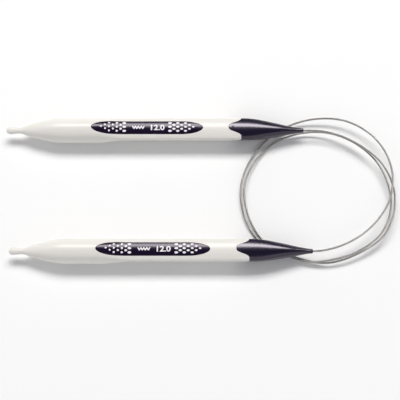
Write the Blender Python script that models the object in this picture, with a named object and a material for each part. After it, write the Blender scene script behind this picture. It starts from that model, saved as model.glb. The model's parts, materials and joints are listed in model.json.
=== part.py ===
"""Circular knitting needle: two moulded needles joined by one thin steel rope.

Each needle has a bead at its tip, a round neck that turns into a rounded triangle, a dark label inlay
on the upper side and a dark end cone that the rope runs into. The rope lies in two and a half loops.

Frame: the origin is on the table under the middle of the two needles, +X from the tips to the rope,
+Y towards the rear needle, +Z up. Sizes below are millimetres; meshes are made in metres.
"""

import math

import bmesh
import bpy

MM = 0.001

# ---- Driving dimensions, in millimetres ----
NEEDLE_LENGTH = 143.5  # bead tip to the mouth of the end cone
NEEDLE_RADIUS = 6.0  # half the knitting gauge, kept at the triangle's rounded corners
NEEDLE_SPACING = 60.0  # axis to axis
NEEDLE_STAGGER = 3.3  # how far the front needle is shifted towards +X
GAP = 0.3  # clearance between neighbouring pieces

ROUND_UNTIL = 43.0  # from the tip: the shaft is round up to here
TRIANGLE_FROM = 57.0  # from the tip: the shaft is fully triangular from here
TRIANGLE = 0.75  # corner centre distance over corner distance, 0 for a circle
SIDE_RADIUS = 10.0  # of the three convex sides, where the shaft is fully triangular

CONE_AT_RIDGES = 30.0  # length of the end cone along the three ridges
CONE_TONGUE = 6.1  # how much longer the cone is along the three sides
SEAM_TURN = 5.0  # degrees that the tongues sit off the middle of their sides
CONE_ROUND_UNTIL = 4.0  # from the mouth: the cone is round up to here
CONE_TRIANGLE_FROM = 28.0  # from the mouth: the cone is fully triangular from here

SPIGOT_RADIUS = 3.0
SPIGOT_LENGTH = 10.0
SPIGOT_FACE = 33.0  # from the mouth, the plane where the spigot starts
SEAT_RADIUS = 1.9  # counterbore that holds the ferrule
SEAT_FRONT = 20.0  # from the mouth, the shoulder that the ferrule pulls against
ROPE_HOLE_RADIUS = 0.75

FERRULE_RADIUS = 1.5
FERRULE_LENGTH = 10.0
FERRULE_BORE_DEPTH = 8.0
FERRULE_CHAMFER = 0.3

LABEL_CENTRE = 68.2  # from the tip
LABEL_HALF_LENGTH = 26.8
LABEL_HALF_WIDTH = 3.2
LABEL_END_ROUNDING = 10.5  # length of each half-elliptical end
LABEL_THICKNESS = 0.6

ROPE_RADIUS = 0.5
ROPE_POINTS = 80

# Outline of the tip: distance from the tip and radius, from the bead to the full round.
BEAD_CENTRE = 2.4
BEAD_RADIUS = 1.85
TIP_OUTLINE = [
    (3.9, 1.68), (6.2, 1.45), (8.3, 1.85), (9.7, 2.45), (12.6, 3.45), (15.5, 4.12),
    (18.4, 4.82), (21.3, 5.42), (24.2, 5.85), (28.0, NEEDLE_RADIUS),
]  # fmt: skip

# Outline of the end cone: distance from its mouth and radius at the ridges.
CONE_OUTLINE = [
    (0.0, 0.98), (0.5, 1.08), (1.4, 1.15), (6.7, 2.05), (11.9, 3.25), (17.1, 4.39),
    (20.0, 5.0), (22.3, 5.43), (24.4, 5.73), (26.5, 5.94),
]  # fmt: skip

# The rope's route, from the rear needle's mouth to the front needle's.
ROPE_ROUTE = [
    (70.55, 30.0, 6.0), (77.5, 29.8, 6.1), (86.9, 27.6, 6.3), (98.0, 22.0, 6.3),
    (108.0, 12.6, 5.9), (113.0, 0.0, 5.0), (113.2, -6.4, 4.6), (108.0, -21.1, 4.4),
    (94.0, -31.0, 3.2), (81.7, -34.7, 2.2), (64.4, -31.3, 0.8), (51.0, -24.2, 0.6),
    (43.6, -12.6, 1.9), (41.7, 3.3, 2.7), (47.3, 16.4, 1.9), (56.6, 25.3, 1.2),
    (68.9, 29.8, 2.0), (82.3, 29.5, 3.6), (95.1, 24.0, 4.5), (105.4, 14.2, 4.5),
    (110.7, 1.3, 4.4), (111.4, -6.5, 4.2), (106.8, -20.0, 4.0), (95.3, -29.4, 4.3),
    (81.6, -33.8, 3.7), (72.2, -34.3, 2.8), (63.0, -31.9, 1.5), (50.2, -25.7, 0.5),
    (41.8, -13.1, 1.6), (39.9, 2.9, 2.4), (46.6, 19.7, 1.4), (60.4, 32.3, 1.4),
    (76.1, 36.7, 3.6), (91.3, 35.1, 4.8), (104.4, 26.6, 5.3), (111.9, 11.3, 6.4),
    (111.2, -2.8, 6.8), (102.1, -17.5, 6.8), (88.3, -26.8, 6.5), (73.75, -30.0, 6.0),
]  # fmt: skip

# Directions around a section, in degrees from the middle of a side to the next ridge.
HALF_SIDE_ANGLES = (6.5, 19.5, 32.5, 43.0, 52.0, 56.0, 60.0)
SIDE_ANGLES = (90.0, 210.0, 330.0)  # one side looks up and one ridge looks down
SIN_60 = math.sin(math.radians(60.0))

WHITE = ((0.83, 0.80, 0.76), 0.28, 0.0)
AUBERGINE = ((0.020, 0.008, 0.035), 0.12, 0.0)
STEEL = ((0.62, 0.60, 0.57), 0.32, 1.0)
FERRULE_STEEL = ((0.70, 0.70, 0.71), 0.25, 1.0)


def remove_everything():
    """Empty the scene."""
    for thing in list(bpy.data.objects):
        bpy.data.objects.remove(thing, do_unlink=True)


def material(name, look):
    """A Principled material from (colour, roughness, metallic)."""
    colour, roughness, metallic = look
    made = bpy.data.materials.new(name)
    made.use_nodes = True
    shader = made.node_tree.nodes["Principled BSDF"]
    shader.inputs["Base Color"].default_value = (*colour, 1.0)
    shader.inputs["Roughness"].default_value = roughness
    shader.inputs["Metallic"].default_value = metallic
    made.diffuse_color = (*colour, 1.0)
    return made


def smoothstep(low, high, value):
    """0 below low, 1 above high, and a smooth step between."""
    part = min(max((value - low) / (high - low), 0.0), 1.0)
    return part * part * (3.0 - 2.0 * part)


def interpolate(outline, at):
    """Radius of an outline at one distance, on straight lines between its points."""
    if at <= outline[0][0]:
        return outline[0][1]
    for (low, first), (high, second) in zip(outline, outline[1:]):
        if at <= high:
            return first + (second - first) * (at - low) / (high - low)
    return outline[-1][1]


def directions():
    """Every direction sampled around a section, in degrees, anticlockwise from +Y."""
    angles = set()
    for side in SIDE_ANGLES:
        for step in HALF_SIDE_ANGLES:
            angles.add(round((side + step) % 360.0, 6))
            angles.add(round((side - step) % 360.0, 6))
    return sorted(angles)


DIRECTIONS = directions()


def side_spread():
    """Distance of a side's arc centre over that of a corner's, which gives the sides their radius."""
    centre = TRIANGLE * NEEDLE_RADIUS
    reach = (SIDE_RADIUS - (NEEDLE_RADIUS - centre)) / centre
    return (math.sqrt(4.0 * reach**2 - 3.0) - 1.0) / 2.0


SIDE_SPREAD = side_spread()
SIDE_REACH = math.sqrt(1.0 + SIDE_SPREAD + SIDE_SPREAD**2)
SIDE_LEAN = math.asin(SIN_60 / SIDE_REACH)  # half of the angle that a side's arc turns through


def section_radius(corner, roundness, angle):
    """Distance from the axis to a rounded triangle with convex sides, in one direction.

    corner is the distance to its rounded corners, and roundness the share of it to a corner's centre.
    """
    off_side = abs((angle - SIDE_ANGLES[0] + 60.0) % 120.0 - 60.0)
    centre = roundness * corner
    bend = corner - centre
    behind = SIDE_SPREAD * centre
    side = bend + SIDE_REACH * centre
    half_side = math.atan2(side * math.sin(SIDE_LEAN), side * math.cos(SIDE_LEAN) - behind)
    turned = math.radians(off_side)
    if turned <= half_side:
        return math.sqrt(side**2 - (behind * math.sin(turned)) ** 2) - behind * math.cos(turned)
    turned = math.radians(60.0 - off_side)
    return centre * math.cos(turned) + math.sqrt(bend**2 - (centre * math.sin(turned)) ** 2)


def shaft_roundness(from_tip):
    """How triangular the shaft is at a distance from its tip."""
    return TRIANGLE * smoothstep(ROUND_UNTIL, TRIANGLE_FROM, from_tip)


def top_height(from_tip, across):
    """Height of the shaft's upper side over its axis, where it carries the label."""
    centre = shaft_roundness(from_tip) * NEEDLE_RADIUS
    side = NEEDLE_RADIUS - centre + SIDE_REACH * centre
    return math.sqrt(side**2 - across**2) - SIDE_SPREAD * centre


def seam(angle):
    """Distance from the mouth to the wavy seam between shaft and cone, in one direction."""
    off = angle - SIDE_ANGLES[0] + SEAM_TURN
    wave = (1.0 + math.cos(math.radians(3.0 * off))) / 2.0
    return CONE_AT_RIDGES + CONE_TONGUE * smoothstep(0.0, 1.0, wave)


def ring(from_mouth, radius_at):
    """One closed section. Both arguments are numbers, or functions of the direction in degrees."""
    points = []
    for angle in DIRECTIONS:
        back = from_mouth(angle) if callable(from_mouth) else from_mouth
        radius = radius_at(angle) if callable(radius_at) else radius_at
        turned = math.radians(angle)
        points.append((-back, radius * math.cos(turned), radius * math.sin(turned)))
    return points


def new_object(name, mesh, look, parent):
    """Link an object with its material and its parent."""
    made = bpy.data.objects.new(name, mesh)
    bpy.context.scene.collection.objects.link(made)
    made.data.materials.append(look)
    made.parent = parent
    return made


def loft(name, rings, look, parent, closed=False):
    """Skin a list of rings with triangles. A ring of one point is a pole; closed joins last to first."""
    work = bmesh.new()
    rows = [[work.verts.new([c * MM for c in point]) for point in points] for points in rings]
    pairs = list(zip(rows, rows[1:]))
    if closed:
        pairs.append((rows[-1], rows[0]))
    for first, second in pairs:
        count = max(len(first), len(second))
        for i in range(count):
            j = (i + 1) % count
            if len(first) == 1:
                work.faces.new((first[0], second[j], second[i]))
            elif len(second) == 1:
                work.faces.new((first[i], first[j], second[0]))
            else:
                work.faces.new((first[i], first[j], second[j]))
                work.faces.new((first[i], second[j], second[i]))
    bmesh.ops.recalc_face_normals(work, faces=work.faces)
    mesh = bpy.data.meshes.new(name)
    work.to_mesh(mesh)
    work.free()
    mesh.shade_smooth()
    mesh.set_sharp_from_angle(angle=math.radians(35.0))
    return new_object(name, mesh, look, parent)


def patch(name, grow, below, above, look, parent):
    """A closed piece that follows the upper side of the shaft inside the label's outline.

    grow widens the outline, below and above are its depth and height from the shaft's surface.
    """
    columns, rows = 20, 4
    half_length = LABEL_HALF_LENGTH + grow
    end = LABEL_END_ROUNDING + grow
    under, over = [], []
    for column in range(columns + 1):
        along = -half_length * math.cos(math.pi * column / columns)
        past = max(abs(along) - (half_length - end), 0.0) / end
        width = (LABEL_HALF_WIDTH + grow) * math.sqrt(max(1.0 - past * past, 0.0))
        from_tip = LABEL_CENTRE + along
        low, high = [], []
        for row in range(rows + 1):
            share = 2.0 * row / rows - 1.0
            across = width * share
            surface = top_height(from_tip, across)
            low.append((from_tip - NEEDLE_LENGTH, across, surface - below))
            high.append((from_tip - NEEDLE_LENGTH, across, surface + above))
            if width < 1e-6:
                break
        under.append(low)
        over.append(high)
    loops = []
    for low, high in zip(under, over):
        loops.append(low + high[::-1] if len(low) > 1 else low + high)
    work = bmesh.new()
    columns_of_verts = [[work.verts.new([c * MM for c in p]) for p in loop] for loop in loops]
    first, last = columns_of_verts[0], columns_of_verts[-1]
    for before, after in zip(columns_of_verts[1:-1], columns_of_verts[2:-1]):
        for i in range(len(before)):
            j = (i + 1) % len(before)
            work.faces.new((before[i], before[j], after[j], after[i]))
    for (low, high), loop in ((first, columns_of_verts[1]), (last, columns_of_verts[-2])):
        for i in range(rows):
            work.faces.new((low, loop[i], loop[i + 1]))
            work.faces.new((high, loop[i + rows + 1], loop[i + rows + 2]))
        work.faces.new((low, loop[rows], loop[rows + 1], high))
        work.faces.new((low, loop[0], loop[-1], high))
    bmesh.ops.recalc_face_normals(work, faces=work.faces)
    bmesh.ops.triangulate(work, faces=work.faces)
    mesh = bpy.data.meshes.new(name)
    work.to_mesh(mesh)
    work.free()
    mesh.shade_smooth()
    mesh.set_sharp_from_angle(angle=math.radians(35.0))
    return new_object(name, mesh, look, parent)


def shaft(side, look, parent):
    """The white moulding: bead, neck, round and triangular body, and the bore for the cone's spigot."""

    def at(from_tip):
        return NEEDLE_LENGTH - from_tip

    rings = [[(-NEEDLE_LENGTH, 0.0, 0.0)]]
    for from_tip in (0.35, 1.1, BEAD_CENTRE):
        back = (BEAD_CENTRE - from_tip) / BEAD_CENTRE
        rings.append(ring(at(from_tip), BEAD_RADIUS * math.sqrt(1.0 - back * back)))
    for from_tip, radius in TIP_OUTLINE:
        rings.append(ring(at(from_tip), radius))
    steps = 4
    for step in range(steps + 1):
        from_tip = ROUND_UNTIL + (TRIANGLE_FROM - ROUND_UNTIL) * step / steps
        share = shaft_roundness(from_tip)
        rings.append(ring(at(from_tip), lambda a, k=share: section_radius(NEEDLE_RADIUS, k, a)))
    rings.append(
        ring(lambda a: seam(a) + GAP, lambda a: section_radius(NEEDLE_RADIUS, TRIANGLE, a))
    )
    bore = SPIGOT_RADIUS + GAP
    bore_end = SPIGOT_FACE + SPIGOT_LENGTH + 1.0
    rings.append(ring(SPIGOT_FACE + GAP, bore))
    rings.append(ring(bore_end, bore))
    rings.append([(-bore_end, 0.0, 0.0)])
    made = loft(f"{side}_shaft", rings, look, parent)

    cutter = patch(f"{side}_label_cutter", GAP, LABEL_THICKNESS + GAP, 3.0, look, parent)
    cutter.hide_render = True
    cutter.display_type = "WIRE"
    pocket = made.modifiers.new("label pocket", "BOOLEAN")
    pocket.operation = "DIFFERENCE"
    pocket.solver = "EXACT"
    pocket.object = cutter
    return made


def end_cone(side, look, parent):
    """The dark cone: wavy base, spigot, seat for the ferrule and the rope's hole."""

    def outer(from_mouth):
        corner = interpolate(CONE_OUTLINE, from_mouth)
        share = TRIANGLE * smoothstep(CONE_ROUND_UNTIL, CONE_TRIANGLE_FROM, from_mouth)
        return ring(from_mouth, lambda a: section_radius(corner, share, a))

    spigot_end = SPIGOT_FACE + SPIGOT_LENGTH
    rings = [outer(from_mouth) for from_mouth, _ in CONE_OUTLINE]
    rings += [
        ring(seam, lambda a: section_radius(NEEDLE_RADIUS, TRIANGLE, a)),
        ring(SPIGOT_FACE, SPIGOT_RADIUS + GAP),
        ring(SPIGOT_FACE, SPIGOT_RADIUS),
        ring(spigot_end, SPIGOT_RADIUS),
        ring(spigot_end, SEAT_RADIUS),
        ring(SEAT_FRONT, SEAT_RADIUS),
        ring(SEAT_FRONT, ROPE_HOLE_RADIUS),
        ring(0.0, ROPE_HOLE_RADIUS),
    ]
    return loft(f"{side}_end_cone", rings, look, parent, closed=True)


def turned(from_mouth, radius, sides=18):
    """A round section with evenly spread points."""
    step = 2.0 * math.pi / sides
    return [
        (-from_mouth, radius * math.cos(i * step), radius * math.sin(i * step)) for i in range(sides)
    ]


def ferrule(side, look, parent):
    """The crimped sleeve on the rope's end, blind at its back."""
    front = SEAT_FRONT + GAP
    back = front + FERRULE_LENGTH
    bore = ROPE_RADIUS + GAP
    rings = [
        turned(front, bore),
        turned(front, FERRULE_RADIUS - FERRULE_CHAMFER),
        turned(front + FERRULE_CHAMFER, FERRULE_RADIUS),
        turned(back - FERRULE_CHAMFER, FERRULE_RADIUS),
        turned(back, FERRULE_RADIUS - FERRULE_CHAMFER),
        [(-back, 0.0, 0.0)],
    ]
    bottom = front + FERRULE_BORE_DEPTH
    rings = [[(-bottom, 0.0, 0.0)], turned(bottom, bore)] + rings
    return loft(f"{side}_ferrule", rings, look, parent)


def rope_end(side, look, parent):
    """The rope's last stretch, inside the cone and the ferrule."""
    back = SEAT_FRONT + FERRULE_BORE_DEPTH
    front = 0.05
    rings = [
        [(-back, 0.0, 0.0)],
        turned(back, ROPE_RADIUS, 10),
        turned(front, ROPE_RADIUS, 10),
        [(-front, 0.0, 0.0)],
    ]
    return loft(f"{side}_cable_end", rings, look, parent)


def rope_line(count):
    """Points along the rope, on a smooth curve through its route, never lower than its own radius."""
    route = ROPE_ROUTE
    last = len(route) - 1

    def tangent(i):
        if i in (0, last):
            return (1.0 if i == 0 else -1.0, 0.0, 0.0)
        before, after = math.dist(route[i - 1], route[i]), math.dist(route[i], route[i + 1])
        return [
            ((b - a) * after / before + (c - b) * before / after) / (before + after)
            for a, b, c in zip(route[i - 1], route[i], route[i + 1])
        ]

    line = []
    for k in range(count):
        at = last * k / (count - 1)
        i = min(int(at), last - 1)
        t = at - i
        span = math.dist(route[i], route[i + 1])
        weights = (
            2 * t**3 - 3 * t**2 + 1,
            span * (t**3 - 2 * t**2 + t),
            3 * t**2 - 2 * t**3,
            span * (t**3 - t**2),
        )
        parts = (route[i], tangent(i), route[i + 1], tangent(i + 1))
        x, y, z = (sum(w * p[axis] for w, p in zip(weights, parts)) for axis in range(3))
        line.append((x, y, max(z, ROPE_RADIUS)))
    return line


def cable(look):
    """The free rope between the two mouths."""
    curve = bpy.data.curves.new("cable", "CURVE")
    curve.dimensions = "3D"
    curve.bevel_depth = ROPE_RADIUS * MM
    curve.bevel_resolution = 2
    curve.use_fill_caps = True
    spline = curve.splines.new("POLY")
    points = rope_line(ROPE_POINTS)
    spline.points.add(len(points) - 1)
    for place, point in zip(spline.points, points):
        place.co = (*(c * MM for c in point), 1.0)
    return new_object("cable", curve, look, None)


def needle(side, sign, looks):
    """One needle, parented to an empty at its mouth, where it swings and rolls."""
    mouth = bpy.data.objects.new(f"{side}_mouth", None)
    bpy.context.scene.collection.objects.link(mouth)
    along = (NEEDLE_LENGTH - sign * NEEDLE_STAGGER) / 2.0
    mouth.location = (along * MM, sign * NEEDLE_SPACING / 2.0 * MM, NEEDLE_RADIUS * MM)
    shaft(side, looks["white"], mouth)
    patch(f"{side}_label_inlay", 0.0, LABEL_THICKNESS, 0.0, looks["aubergine"], mouth)
    end_cone(side, looks["aubergine"], mouth)
    ferrule(side, looks["ferrule"], mouth)
    rope_end(side, looks["steel"], mouth)


def main():
    """Build the whole object."""
    remove_everything()
    looks = {
        "white": material("white polymer", WHITE),
        "aubergine": material("aubergine polymer", AUBERGINE),
        "steel": material("rope steel", STEEL),
        "ferrule": material("ferrule steel", FERRULE_STEEL),
    }
    needle("rear", 1.0, looks)
    needle("front", -1.0, looks)
    cable(looks["steel"])
    bpy.context.view_layer.update()


main()
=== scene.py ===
"""Circular knitting needle: two moulded needles joined by one thin steel rope, with their finishes.

The pieces follow the same outlines as the frame's parts, only finer and with rounded edges: white shafts
that turn from round to triangular, glossy label inlays with their print, glossy end cones with a wavy
base, and a rope of six steel strands laid around a core.

Frame: metres, the origin on the table under the middle of the two needles, +X from the tips to the rope,
+Y towards the rear needle, +Z up. Sizes in this file are millimetres; a mesh is scaled once, when it is
made. A needle's own coordinates are its distance along X, across Y and up Z from the middle of its mouth.
"""

import json
import logging
import math
from dataclasses import dataclass
from enum import Enum
from typing import Any, Callable, Sequence

import bmesh
import bpy
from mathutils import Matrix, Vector


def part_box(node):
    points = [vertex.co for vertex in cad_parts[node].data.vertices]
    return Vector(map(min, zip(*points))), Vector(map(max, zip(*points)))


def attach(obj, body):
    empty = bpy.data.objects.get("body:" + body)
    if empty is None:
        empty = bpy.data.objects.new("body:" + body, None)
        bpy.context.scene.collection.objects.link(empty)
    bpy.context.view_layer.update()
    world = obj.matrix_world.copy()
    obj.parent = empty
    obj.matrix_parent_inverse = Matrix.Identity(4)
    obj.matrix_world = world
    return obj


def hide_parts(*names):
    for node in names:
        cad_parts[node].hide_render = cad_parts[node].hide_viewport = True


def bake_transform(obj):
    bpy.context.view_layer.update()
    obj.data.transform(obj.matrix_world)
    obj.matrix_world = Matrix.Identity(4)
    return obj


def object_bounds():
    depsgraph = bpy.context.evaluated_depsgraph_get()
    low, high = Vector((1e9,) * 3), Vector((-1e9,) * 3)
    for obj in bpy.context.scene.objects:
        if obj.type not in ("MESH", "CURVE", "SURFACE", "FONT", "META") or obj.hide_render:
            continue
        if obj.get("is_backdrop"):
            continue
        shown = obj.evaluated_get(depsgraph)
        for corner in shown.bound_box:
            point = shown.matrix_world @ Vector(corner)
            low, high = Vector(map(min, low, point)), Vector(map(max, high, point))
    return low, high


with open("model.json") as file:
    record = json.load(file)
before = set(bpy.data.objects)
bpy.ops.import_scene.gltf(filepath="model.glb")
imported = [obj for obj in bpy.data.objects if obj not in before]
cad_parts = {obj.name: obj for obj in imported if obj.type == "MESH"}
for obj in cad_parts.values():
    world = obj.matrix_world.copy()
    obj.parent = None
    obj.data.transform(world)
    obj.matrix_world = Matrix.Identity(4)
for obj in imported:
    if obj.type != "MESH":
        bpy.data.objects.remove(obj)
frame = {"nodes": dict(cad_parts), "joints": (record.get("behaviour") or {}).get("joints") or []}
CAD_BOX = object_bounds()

MM = 0.001
TURN = 2.0 * math.pi
SIN_60 = math.sin(math.radians(60.0))

NEEDLE_RADIUS = 6.0  # half the gauge, kept at the triangle's rounded corners
TRIANGLE = 0.75  # corner centre distance over corner distance, where the needle is fully triangular
SIDE_RADIUS = 10.0  # of the triangle's convex sides

COLUMNS = 160  # faces around a needle
QUARTER = (0.0, 30.0, 60.0, 90.0)  # degrees that a rounded edge turns through
CLOSE = 0.985  # share of the way to a rounded edge where the last plain row runs
WELD = 1e-6  # metres
SHARP = math.radians(40.0)  # faces that meet at more than this are shaded with a hard edge

Point = tuple[float, float, float]
Colour = tuple[float, float, float]
Row = list[Point]
Mark = tuple[float, float, float, float, float]  # along, across, half length, half width, turn

log = logging.getLogger("knitting_needle")


# ---- Small tools -------------------------------------------------------------------------------------


def smoothstep(low: float, high: float, value: float) -> float:
    """Step smoothly from 0 to 1.

    Args:
        low: Where the step starts.
        high: Where the step ends.
        value: The place to read.

    Returns:
        0 below low, 1 above high, and a smooth value between.
    """
    part = min(max((value - low) / (high - low), 0.0), 1.0)
    return part * part * (3.0 - 2.0 * part)


def mix(first: float, second: float, share: float) -> float:
    """Go from first to second by share."""
    return first + (second - first) * share


def steps(count: int, include_start: bool = True) -> list[float]:
    """List evenly spread shares from 0 to 1, with or without the 0."""
    return [i / count for i in range(0 if include_start else 1, count + 1)]


def rgba(colour: Colour) -> tuple[float, float, float, float]:
    """Add full opacity to a colour."""
    return (*colour, 1.0)


def curve_between(start: Any, end: Any, leaving: Any, arriving: Any, part: float) -> Any:
    """Go smoothly from one number or vector to another.

    Args:
        start: Value at part 0.
        end: Value at part 1.
        leaving: Slope at the start, over the whole way.
        arriving: Slope at the end, over the whole way.
        part: How far along.

    Returns:
        The value there.
    """
    square, cube = part**2, part**3
    value = (2 * cube - 3 * square + 1) * start + (3 * square - 2 * cube) * end
    return value + (cube - 2 * square + part) * leaving + (cube - square) * arriving


def rounded_edge(radius: float) -> list[tuple[float, float]]:
    """List how far sideways and how far down a rounded edge has come, row by row."""
    turns = [math.radians(turn) for turn in QUARTER]
    return [(radius * math.sin(turn), radius * (1.0 - math.cos(turn))) for turn in turns]


class Outline:
    """A smooth curve through a list of (distance, radius) points."""

    def __init__(self, points: Sequence[tuple[float, float]]) -> None:
        """Keep the points and work out the slope at each.

        Args:
            points: Distance and radius pairs, in rising distance.
        """
        self.points = list(points)
        self.slopes = [self._slope(i) for i in range(len(self.points))]

    def _slope(self, i: int) -> float:
        """Find the slope at one point, level where the outline turns or ends.

        Args:
            i: Number of the point.

        Returns:
            Radius per distance.
        """
        if i in (0, len(self.points) - 1):
            return 0.0
        (a, ra), (b, rb), (c, rc) = self.points[i - 1 : i + 2]
        before, after = (rb - ra) / (b - a), (rc - rb) / (c - b)
        return 0.0 if before * after <= 0.0 else 2.0 * before * after / (before + after)

    def at(self, distance: float) -> float:
        """Read the radius at a distance.

        Args:
            distance: Place along the outline. Beyond either end the end's radius holds.

        Returns:
            The radius there.
        """
        if distance <= self.points[0][0]:
            return self.points[0][1]
        for i, (low, high) in enumerate(zip(self.points, self.points[1:])):
            if distance <= high[0]:
                span = high[0] - low[0]
                leaving, arriving = (span * slope for slope in self.slopes[i : i + 2])
                return curve_between(low[1], high[1], leaving, arriving, (distance - low[0]) / span)
        return self.points[-1][1]


def side_spread() -> float:
    """Distance of a side's arc centre over that of a corner's, which gives the sides their radius."""
    centre = TRIANGLE * NEEDLE_RADIUS
    reach = (SIDE_RADIUS - (NEEDLE_RADIUS - centre)) / centre
    return (math.sqrt(4.0 * reach**2 - 3.0) - 1.0) / 2.0


SPREAD = side_spread()
REACH = math.sqrt(1.0 + SPREAD + SPREAD**2)
LEAN = math.asin(SIN_60 / REACH)  # half of the angle that a side's arc turns through


@dataclass(frozen=True)
class Section:
    """A triangle with rounded corners and convex sides, one side up, or a circle where share is 0."""

    corner: float
    share: float = 0.0

    @property
    def centre(self) -> float:
        """Distance from the axis to the centre of a rounded corner."""
        return self.share * self.corner

    @property
    def bend(self) -> float:
        """Radius of a rounded corner."""
        return self.corner - self.centre

    @property
    def side(self) -> float:
        """Radius of a convex side."""
        return self.bend + REACH * self.centre

    @property
    def behind(self) -> float:
        """Distance from the axis to the centre of a side's arc, on the far side of the axis."""
        return SPREAD * self.centre

    def radius(self, angle: float) -> float:
        """Distance from the axis to the surface.

        Args:
            angle: Direction in degrees, anticlockwise from +Y towards +Z.

        Returns:
            The distance in millimetres.
        """
        turned = math.radians(abs((angle - 90.0 + 60.0) % 120.0 - 60.0))
        side, behind = self.side, self.behind
        if turned <= math.atan2(side * math.sin(LEAN), side * math.cos(LEAN) - behind):
            return math.sqrt(side**2 - (behind * math.sin(turned)) ** 2) - behind * math.cos(turned)
        turned = math.radians(60.0) - turned
        across = self.centre * math.sin(turned)
        return self.centre * math.cos(turned) + math.sqrt(self.bend**2 - across**2)

    def top(self, across: float) -> float:
        """Height of the upper side over the axis, at a distance from its middle."""
        return math.sqrt(self.side**2 - across**2) - self.behind


def shell(
    name: str, sheets: Sequence[Sequence[Row]], material: bpy.types.Material
) -> bpy.types.Object:
    """Make one closed piece of sheets, weld their seams and poles and turn the faces outwards.

    Args:
        name: Name of the piece.
        sheets: Rows of points in millimetres. Within a sheet each row is joined to the next.
        material: The piece's finish.

    Returns:
        The linked object, at the origin, in metres.
    """
    points: list[list[float]] = []
    faces = []
    for rows in sheets:
        width = len(rows[0])
        for number, row in enumerate(rows):
            start = len(points)
            points.extend([c * MM for c in point] for point in row)
            if number:
                around = range(start, start + width - 1)
                faces.extend((i - width, i - width + 1, i + 1, i) for i in around)
    mesh = bpy.data.meshes.new(name)
    mesh.from_pydata(points, [], faces)
    work = bmesh.new()
    work.from_mesh(mesh)
    bmesh.ops.remove_doubles(work, verts=work.verts, dist=WELD)
    bmesh.ops.dissolve_degenerate(work, edges=work.edges, dist=WELD)
    bmesh.ops.recalc_face_normals(work, faces=work.faces)
    work.to_mesh(mesh)
    work.free()
    mesh.shade_smooth()
    mesh.set_sharp_from_angle(angle=SHARP)
    mesh.materials.append(material)
    return linked(name, mesh)


def linked(name: str, data: bpy.types.ID | None) -> bpy.types.Object:
    """Make an object of some data and link it to the scene."""
    made = bpy.data.objects.new(name, data)
    bpy.context.scene.collection.objects.link(made)
    return made


def evaluated_mesh(made: bpy.types.Object) -> bpy.types.Mesh:
    """Copy an object's evaluated mesh, with its modifiers or text worked out."""
    bpy.context.view_layer.update()
    return bpy.data.meshes.new_from_object(made.evaluated_get(bpy.context.evaluated_depsgraph_get()))


def report(piece: bpy.types.Object) -> None:
    """Log a piece's name and size."""
    mesh = piece.data
    mesh.calc_loop_triangles()
    log.info("%s: %d triangles", piece.name, len(mesh.loop_triangles))


# ---- Node graphs -------------------------------------------------------------------------------------


class Signal:
    """One output socket that takes part in arithmetic. Each operation adds a Math node."""

    def __init__(self, graph: "Graph", socket: bpy.types.NodeSocket) -> None:
        """Wrap a socket of a graph."""
        self.graph = graph
        self.socket = socket

    def other(self, output: str | int) -> "Signal":
        """Take another output of the same node."""
        return Signal(self.graph, self.socket.node.outputs[output])

    def maths(self, operation: str, *values: Any) -> "Signal":
        """Add a Math node that works on the values."""
        return self.graph.node("ShaderNodeMath", {"operation": operation}, dict(enumerate(values)))

    def __add__(self, other: Any) -> "Signal":
        """Add."""
        return self.maths("ADD", self, other)

    def __radd__(self, other: Any) -> "Signal":
        """Add, from the right."""
        return self.maths("ADD", other, self)

    def __sub__(self, other: Any) -> "Signal":
        """Subtract."""
        return self.maths("SUBTRACT", self, other)

    def __rsub__(self, other: Any) -> "Signal":
        """Subtract from a number."""
        return self.maths("SUBTRACT", other, self)

    def __mul__(self, other: Any) -> "Signal":
        """Multiply."""
        return self.maths("MULTIPLY", self, other)

    def __rmul__(self, other: Any) -> "Signal":
        """Multiply, from the right."""
        return self.maths("MULTIPLY", other, self)

    def __truediv__(self, other: Any) -> "Signal":
        """Divide."""
        return self.maths("DIVIDE", self, other)

    def __rtruediv__(self, other: Any) -> "Signal":
        """Divide a number by this."""
        return self.maths("DIVIDE", other, self)


class Graph:
    """A node tree of any kind, written as expressions."""

    def __init__(self, tree: bpy.types.NodeTree) -> None:
        """Keep the tree and empty it."""
        self.tree = tree
        self.tree.nodes.clear()

    def node(
        self,
        kind: str,
        settings: dict[str, Any] | None = None,
        inputs: dict[str | int, Any] | None = None,
        output: str | int = 0,
    ) -> Signal:
        """Add one node.

        Args:
            kind: The node's type.
            settings: Its properties, set first. "stops" holds a ramp's (position, colour) pairs and
                "captures" the (type, name) pairs of a Capture Attribute node.
            inputs: Values or signals by socket name or number.
            output: Which output to return.

        Returns:
            The chosen output, or the first input's node if it has no outputs.
        """
        made = self.tree.nodes.new(kind)
        for name, value in (settings or {}).items():
            if name == "stops":
                self._set_stops(made.color_ramp, value)
            elif name == "captures":
                for data_type, label in value:
                    made.capture_items.new(data_type, label)
            else:
                setattr(made, name, value)
        for key, value in (inputs or {}).items():
            self.feed(made.inputs[key], value)
        return Signal(self, made.outputs[output]) if made.outputs else made

    def feed(self, socket: bpy.types.NodeSocket, value: Any) -> None:
        """Link a signal into a socket, or set the socket's own value."""
        if isinstance(value, Signal):
            self.tree.links.new(value.socket, socket)
        else:
            socket.default_value = value

    @staticmethod
    def _set_stops(ramp: bpy.types.ColorRamp, stops: Sequence[tuple[float, Colour]]) -> None:
        """Give a colour ramp its stops.

        Args:
            ramp: The ramp to fill.
            stops: Positions and colours, in rising position.
        """
        while len(ramp.elements) > 1:
            ramp.elements.remove(ramp.elements[-1])
        for i, (position, colour) in enumerate(stops):
            element = ramp.elements[0] if i == 0 else ramp.elements.new(position)
            element.position = position
            element.color = rgba(colour)


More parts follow.
